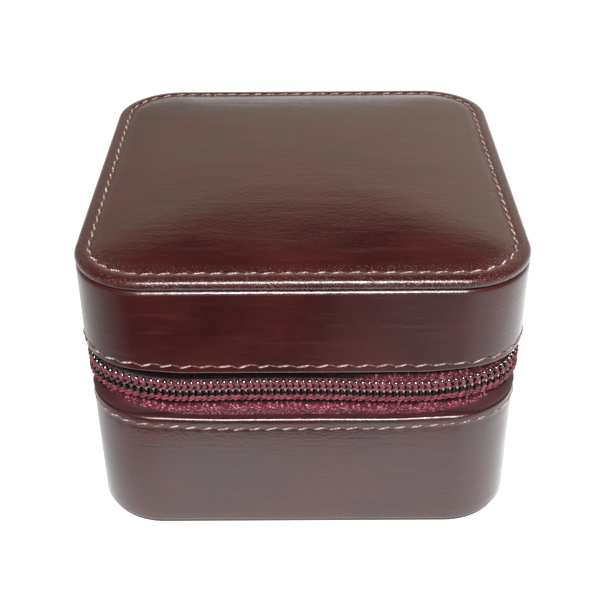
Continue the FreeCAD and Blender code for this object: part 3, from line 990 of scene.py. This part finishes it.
def coil_line(heel, head, phase, shoulder_glints):
    """Centre line of a coil: each turn goes from the heel along the outside to the head and back inside."""
    turns = int((ZIP_END - ZIP_START - 2 * COIL_MARGIN) / COIL_PITCH)
    start = ZIP_START + COIL_MARGIN
    angle = np.arange(turns * COIL_STEPS) / COIL_STEPS * 2 * math.pi
    distance = start + (angle / (2 * math.pi) + phase) * COIL_PITCH
    point, tangent, normal, wander = zip_frame(distance)

    def squared(value):
        return np.sign(value) * np.abs(value) ** COIL_SQUARENESS
    middle, reach = (heel + head) / 2, (head - heel) / 2
    out = COIL_THICKNESS / 2 + squared(np.sin(angle)) * (COIL_THICKNESS / 2 - WIRE_ROOM)
    height = middle - reach * squared(np.cos(angle)) + wander
    centres = np.column_stack([point + out[:, None] * normal, height])
    at_head = 0.5 - 0.5 * np.cos(angle)
    turned = np.mod(angle, 2 * math.pi)
    shoulder = shoulder_glints * bell(turned, SHOULDER_PLACE, SHOULDER_WIDTH)
    radii = (WIRE_RADIUS + HEAD_SWELL * at_head ** 4 + SHOULDER_SWELL * shoulder) * MM
    # Painted glints: how far the colour turns near white on the heels and shoulders
    glint_paint = np.maximum(shoulder_glints * (1 - at_head) ** 3, 0.7 * shoulder)
    return centres, radii, np.column_stack([tangent, np.zeros(len(angle))]), glint_paint


def coil_object(name, heel, head, phase, shoulder_glints, body, node):
    """One coil. Its map holds how strongly each place is painted near white as a glint."""
    centres, radii, reference, glint_paint = coil_line(heel, head, phase, shoulder_glints)
    made = tube_object(name, tube_points(centres, radii, reference, COIL_SIDES))
    add_surface_map(made, 0.0, np.repeat(glint_paint, COIL_SIDES))
    dress(made, body, "zip_coil", zip_coil, node)


def bead_template(length, radius):
    """A short plump stitch of two-ply thread along X."""
    share = np.linspace(-1, 1, 9)
    centres = np.column_stack([share * length / 2, 0 * share, -0.25 * radius * share ** 2])
    thickness = radius * np.sqrt(np.clip(1 - (0.96 * share) ** 4, 0.02, 1))
    return thread_tube(centres, thickness, SHORT_TWIST)


# The stitches over the coils: their size, how far they sink in, where they start, what both ends leave free,
# and how unevenly they lean, in degrees
BEAD_LENGTH, BEAD_RADIUS, BEAD_SINK = 1.6 * MM, 0.29 * MM, 0.02 * MM
SEWING_START, SEWING_MARGIN = 2.8 * MM, 5 * MM
LEAN_JITTER = 26


def coil_sewing(name, heights, leans, body):
    """Rows of thread over the legs of a coil, one stitch for each turn."""
    turns = int((ZIP_END - ZIP_START - SEWING_MARGIN) / COIL_PITCH)
    places = []
    for height, lean in zip(heights, leans):
        distance = ZIP_START + SEWING_START + np.arange(turns) * COIL_PITCH
        point, tangent, normal, wander = zip_frame(distance)
        for number in range(turns):
            uneven = noise.noise(Vector((number * 1.9, height * 4000, 0.0)))
            turn = math.radians(lean + LEAN_JITTER * uneven)
            out = flat(normal[number])
            ahead = flat(tangent[number]) * math.cos(turn) + np.array([0.0, 0.0, math.sin(turn)])
            place = np.array([*point[number], height + wander[number]]) + out * (COIL_THICKNESS - BEAD_SINK)
            places.append((place, np.array([ahead, np.cross(out, ahead), out])))
    made = copies_object(name, bead_template(BEAD_LENGTH, BEAD_RADIUS), places)
    dress(made, body, "thread", zip_thread)


def zipper():
    tape_object("zip_tape_below", base_high.z - TAPE_SEAM, tape_high.z, tape_lower_bow,
                "base", "zip_tape_lower")
    tape_object("zip_tape_above", lid_low.z + TAPE_SEAM, upper_tape_low.z, tape_upper_bow,
                "lid", "zip_tape_upper")
    low, high, inset, overlap = lower_coil_low.z, upper_coil_high.z, 0.3 * MM, 0.30 * MM
    # Only the upper coil gets swollen shoulders and painted glints
    coil_object("zip_coil_below", low + inset, ZIP_MIDDLE + overlap, 0.0, 0.0, "base", "zip_coil_lower")
    coil_object("zip_coil_above", high - inset, ZIP_MIDDLE - overlap, 0.5, 1.0, "lid", "zip_coil_upper")
    coil_sewing("zip_sewing_below", (low + 1.08 * MM, low + 1.68 * MM), (20, 20), "base")
    coil_sewing("zip_sewing_above", (high - 0.8 * MM, high - 1.55 * MM), (-34, 34), "lid")


# Hinge

HINGE_HALF_WIDTH = TAPE_HALF[0] - ZIP_CORNER
GUSSET_THICKNESS = 0.8 * MM


def leather_strip(name, distance, low, high, thickness):
    """A strip of leather on the zip's plan, from one height to another, with rounded long edges."""
    share = np.linspace(0, 1, 25)
    height = low + (high - low) * share
    middle = thickness / 2
    plump = middle * np.sqrt(np.clip(1 - np.abs(2 * share - 1) ** 10, 0.04, 1))
    inset = np.concatenate([middle - plump, (middle + plump)[::-1]])
    points = swept(*zip_loop.at(distance), inset, np.concatenate([height, height[::-1]]))
    return tube_object(name, points)


def hinge():
    """One leather strip along the hinge, and leather tabs that cover the ends of the zip."""
    gusset_low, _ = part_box("hinge_gusset_lower")
    _, gusset_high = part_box("hinge_gusset_upper")
    joint = next(j for j in frame["joints"] if j["name"] == "lid_hinge")
    _, axis_y, axis_z = joint["pos_m"]
    middle = np.linspace(-HINGE_HALF_WIDTH, HINGE_HALF_WIDTH, 90)
    strip = leather_strip("hinge_strip", middle, gusset_low.z, gusset_high.z, GUSSET_THICKNESS)
    strip.data.materials.append(wall_leather)
    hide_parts("hinge_gusset_lower", "hinge_gusset_upper")
    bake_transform(strip)
    edge = 0.25 * MM
    for body, low, high in (("base", gusset_low.z, axis_z - edge), ("lid", axis_z + edge, gusset_high.z)):
        for side, sign in (("left", 1), ("right", -1)):
            distance = sign * np.linspace(HINGE_HALF_WIDTH + edge, ZIP_START + 0.3 * MM, 60)
            tab = leather_strip(f"zip_end_tab_{body}_{side}", distance, low, high, GUSSET_THICKNESS)
            dress(tab, body, "leather", wall_leather)


# Inside

def lining_wall(name, node, profile, body):
    """A lining glued round the inside of a wall. The profile is inset from the zip's plan and height."""
    place = zip_loop.at(zip_loop.distance(zip_loop.stations(LINING_STEP)))
    points = swept(*place, *np.array(profile).T)
    dress(ring_object(name, points), body, "lining", lining, node)


def linings():
    face, back, rounding = 2.4 * MM, 0.9 * MM, 0.75 * MM
    middle = (face + back) / 2
    for name, node, body, rim, deep, side in (
            ("base_lining", "base_wall_lining", "base", base_high.z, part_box("base_floor_lining")[0].z, -1),
            ("lid_lining", "lid_wall_lining", "lid", lid_low.z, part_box("lid_ceiling_lining")[1].z, 1)):
        shoulder = rim + side * rounding
        profile = [(back, deep), (back, shoulder)]
        for angle in np.radians(np.linspace(150, 30, 7)):
            bend = rounding * (1 - math.sin(angle))
            profile.append((middle - rounding * math.cos(angle), rim + side * bend))
        profile += [(face, shoulder), (face, rim + side * 6 * MM), (face, deep)]
        lining_wall(name, node, profile, body)


ROLL_VOXEL = 1.3 * MM
ROLL_SWELL = 0.5 * MM
ROLL_PRESSURE = 3.0
ROLL_FRAMES = 20


def mesh_points(mesh):
    points = np.empty(3 * len(mesh.vertices))
    mesh.vertices.foreach_get("co", points)
    return points.reshape(-1, 3)


def remeshed(made, voxel):
    """Gives an object an even mesh of small quads."""
    even = made.modifiers.new("even", "REMESH")
    even.mode = "VOXEL"
    even.voxel_size = voxel
    result = bpy.data.meshes.new_from_object(made.evaluated_get(bpy.context.evaluated_depsgraph_get()))
    made.modifiers.remove(even)
    made.data = result


def swell(made, held):
    """A cloth simulation: the cover swells under the filling's pressure, except at the held points, where it
    is sewn down. No point moves further than the cap."""
    start = mesh_points(made.data)
    sewn = made.vertex_groups.new(name="sewn")
    sewn.add([int(point) for point in np.flatnonzero(held(start))], 1.0, "REPLACE")
    cover = made.modifiers.new("cover", "CLOTH")
    cover.settings.vertex_group_mass = "sewn"
    cover.settings.use_pressure = True
    cover.settings.uniform_pressure_force = ROLL_PRESSURE
    cover.settings.effector_weights.gravity = 0
    cover.point_cache.frame_end = ROLL_FRAMES
    for number in range(1, ROLL_FRAMES + 1):
        bpy.context.scene.frame_set(number)
    evaluated = made.evaluated_get(bpy.context.evaluated_depsgraph_get())
    moved = mesh_points(evaluated.data) - start
    made.modifiers.remove(cover)
    made.vertex_groups.clear()
    bpy.context.scene.frame_set(1)
    length = np.linalg.norm(moved, axis=1, keepdims=True)
    moved *= np.minimum(1, ROLL_SWELL / np.maximum(length, 1e-9))
    made.data.vertices.foreach_set("co", (start + moved).ravel())
    made.data.update()


# Where a roll's sides start under its crown, how wide they are there, and how far they are drawn in
ROLL_SHOULDER = 8.3 * MM
ROLL_WAIST = 0.94
ROLL_TUCK = 0.05


def roll_section(half, low, high):
    """Outline of a roll: a round crown over sides that are drawn in."""
    shoulder = high - ROLL_SHOULDER

    def side(sign, bend, rise, fall):
        width = half * (ROLL_WAIST - ROLL_TUCK * math.sin(math.pi * bend))
        return (sign * width, shoulder * rise + low * fall)
    section = [(half * math.cos(angle), high - half + half * math.sin(angle))
               for angle in np.radians(np.linspace(-20, 200, 31))]
    section += [side(-1, fall, 1 - fall, fall) for fall in np.linspace(0.06, 1, 9)]
    section += [side(1, rise, rise, 1 - rise) for rise in np.linspace(0, 0.94, 9)]
    return np.array(section)


def roll_points(low, high):
    """Points of a slack cover, with room to swell: gathered at its ends and a little uneven."""
    room = 0.8 * ROLL_SWELL
    middle_y, half_y = (low.y + high.y) / 2, (high.y - low.y) / 2 - room
    high = Vector((high.x, high.y, high.z - room))
    section = roll_section(half_y, low.z, high.z)
    share = np.linspace(-1, 1, 120)
    draw = 1 - 0.10 * np.abs(share) ** 14 - 0.015 * np.cos(share * 9) ** 2
    points = np.zeros((len(share), len(section), 3))
    points[:, :, 0] = (share * high.x)[:, None]
    points[:, :, 1] = middle_y + section[None, :, 0] * draw[:, None]
    points[:, :, 2] = low.z + (section[None, :, 1] - low.z) * (1 - 0.05 * np.abs(share) ** 10)[:, None]
    soft = ripples(points, 9 * MM, high.y * 900) * 0.14 * MM
    points[:, :, 2] += soft - 0.14 * MM * (points[:, :, 2] > low.z + 2 * MM)
    points[:, :, 2] = np.maximum(points[:, :, 2], low.z)
    return points


def ring_roll(name, node):
    """A padded roll with a rounded crown, drawn-in sides and gathered ends. Its slack cover swells."""
    low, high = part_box(node)
    made = tube_object(name, roll_points(low, high))
    remeshed(made, ROLL_VOXEL)
    swell(made, lambda at: (at[:, 2] < low.z + 1 * MM) | (np.abs(at[:, 0]) > high.x - 1 * MM))
    shade(made)
    made.modifiers.new("smooth", "SUBSURF").render_levels = 1
    dress(made, "base", "ring_roll", velvet, node)


def soften(node, width, material, segments=3):
    """A solid whose shape is right: it keeps its mesh and gets rounded edges and a material."""
    item = frame["nodes"][node]
    item.data.materials.clear()
    item.data.materials.append(material)
    rounding = item.modifiers.new("rounded edges", "BEVEL")
    rounding.width = width
    rounding.segments = segments
    rounding.limit_method = "ANGLE"
    rounding.angle_limit = math.radians(40)
    rounding.harden_normals = True


def kept_solids():
    for node in ("front_divider", "rear_divider", "cross_divider"):
        soften(node, 0.7 * MM, lining, 4)
    for node in ("base_floor_lining", "lid_ceiling_lining"):
        soften(node, 0.2 * MM, lining)
    for node in ("slider_body", "slider_bail", "zip_pull", "zip_stops_lower", "zip_stops_upper"):
        soften(node, 0.18 * MM, nickel)
    soften("base_bottom_leather", 0.25 * MM, wall_leather)
    for node in ("base_floor_board", "base_wall_board", "lid_wall_board", "lid_roof_board", "lid_top_board"):
        soften(node, 0.1 * MM, grey_board, 1)


# Studio

WHITE = 0.98


def floor():
    """A wide pale floor that keeps the case's shadow. Reflections show it dimmer behind and on the left."""
    corners = [(x, y, -0.0001) for x, y in ((-3, -3), (3, -3), (3, 3), (-3, 3))]
    made = new_object("floor", corners, [(0, 1, 2, 3)])
    surface = Surface("pale floor", Base_Color=(0.3, 0.3, 0.3, 1), Emission_Color=(1, 1, 1, 1),
                      Roughness=0.9, Specular_IOR_Level=0.1)
    rays = surface.add("LightPath", {}).outputs
    place = surface.axes(surface.places(1))
    rear = surface.fit(place["Y"], 0.0, 0.3, WHITE, 0.8)
    left = surface.fit(place["X"], -0.06, -0.03, 0.5, WHITE)
    in_view = surface.calculate("MULTIPLY", rays["Is Camera Ray"], WHITE)
    level = surface.calculate("MAXIMUM", in_view, surface.calculate("MINIMUM", rear, left))
    surface.feed("Emission Strength", surface.calculate("MULTIPLY", surface.shown(rays), level))
    made.data.materials.append(surface.material)


def height_ramp(graph, height, stops):
    """Colours by the height of a direction, as (degrees, colour) from low to high."""
    node = graph.add("ValToRGB", {0: height})
    elements = node.color_ramp.elements
    elements.remove(elements[1])
    elements[0].position = math.sin(math.radians(stops[0][0]))
    elements[0].color = (*stops[0][1], 1)
    for angle, colour in stops[1:]:
        elements.new(math.sin(math.radians(angle))).color = (*colour, 1)
    return node.outputs[0]


def grey(value):
    return (value, value, value)


REAR_SKY = ((3, grey(1.0)), (8, (0.30, 0.27, 0.23)), (15, (0.38, 0.33, 0.27)), (25, (0.64, 0.55, 0.44)),
            (31, (0.60, 0.50, 0.40)), (38, grey(0.03)))
FRONT_SKY = ((2.5, grey(1.0)), (7, grey(0.16)), (16, grey(0.05)), (38, grey(0.03)))
EVEN_LIGHT = ((0, grey(0.10)), (30, grey(0.20)), (80, grey(0.40)))


def world():
    """A white horizon, a pale wall behind the case, a dark room elsewhere and a gentle light from above."""
    made = bpy.data.worlds.new("studio")
    bpy.context.scene.world = made
    graph = Graph(made)
    graph.nodes.clear()
    direction = graph.axes(graph.add("TexCoord", {}).outputs["Generated"])
    skies = (FRONT_SKY, REAR_SKY, EVEN_LIGHT)
    front, rear, even = (height_ramp(graph, direction["Z"], stops) for stops in skies)
    sky = graph.blend(graph.fit(direction["Y"], -0.1, 0.5, 0, 1), front, rear)
    strength = graph.fit(direction["X"], -0.35, 0.35, 0.66, 1.18)
    seen = graph.add("Background", {"Color": sky, "Strength": strength}).outputs[0]
    light = graph.add("Background", {"Color": even}).outputs[0]
    shown = graph.shown(graph.add("LightPath", {}).outputs)
    mix = graph.add("MixShader", {0: shown, 1: light, 2: seen}).outputs[0]
    graph.add("OutputWorld", {"Surface": mix})


def soft_light(name, place, aim, width, height, watts):
    data = bpy.data.lights.new(name, "AREA")
    data.shape = "RECTANGLE"
    data.size, data.size_y = width, height
    data.energy = watts
    lamp = in_scene(name, data)
    lamp.location = place
    lamp.rotation_euler = (Vector(aim) - Vector(place)).to_track_quat("-Z", "Y").to_euler()


def dark_screen():
    """A dark screen on the floor before the case, pale towards its sides. It shows only in reflections."""
    outline = ((-0.62, 0.20), (-0.13, 0.15), (-0.082, -0.03), (-0.072, -0.07), (-0.045, -0.084),
               (0.075, -0.084), (0.12, -0.05), (0.62, 0.10), (0.62, -0.65), (-0.62, -0.65))
    made = new_object("dark_screen", [(x, y, 0.0005) for x, y in outline], [tuple(range(len(outline)))])
    surface = Surface("dark screen", Roughness=0.9, Specular_IOR_Level=0.0)
    place = surface.axes(surface.places((1, -1, 1)))
    bearing = surface.calculate("ARCTAN2", place["X"], surface.calculate("SUBTRACT", place["Y"], 0.035))
    left = surface.fit(bearing, math.radians(-125), math.radians(-45), 0, 1)
    right = surface.fit(bearing, math.radians(0), math.radians(75), 1, 0)
    dark = surface.calculate("MINIMUM", left, right)
    surface.colour(surface.blend(dark, (0.9, 0.9, 0.9, 1), (0.03, 0.03, 0.03, 1)))
    made.data.materials.append(surface.material)
    made.visible_camera = made.visible_diffuse = made.visible_shadow = made.visible_transmission = False


CAMERA_LENS = 66.603
CAMERA_PLACE = Vector((0.381, -237.327, 181.624)) * MM
CAMERA_AIM = Vector((-0.790, -0.004, 29.451)) * MM
CAMERA_ROLL = math.radians(-0.504)


def camera():
    data = bpy.data.cameras.new("camera")
    data.lens = CAMERA_LENS
    data.sensor_width = 36.0
    data.clip_start = 0.01
    made = in_scene("camera", data)
    look = (CAMERA_AIM - CAMERA_PLACE).to_track_quat("-Z", "Y").to_matrix().to_4x4()
    made.matrix_world = Matrix.Translation(CAMERA_PLACE) @ look @ Matrix.Rotation(CAMERA_ROLL, 4, "Z")
    bpy.context.scene.camera = made


base_wall()
lid_wall()
lid_top()
stitching()
zipper()
hinge()
linings()
for place in ("front", "middle", "rear"):
    ring_roll(f"velvet_roll_{place}", f"ring_roll_{place}")
kept_solids()
floor()
world()
dark_screen()
soft_light("overhead_strip", (0.01, -0.39, 0.45), aim=(0, -0.03, 0.05), width=0.24, height=0.28, watts=4.1)
camera()
bpy.context.scene.view_settings.view_transform = "Standard"
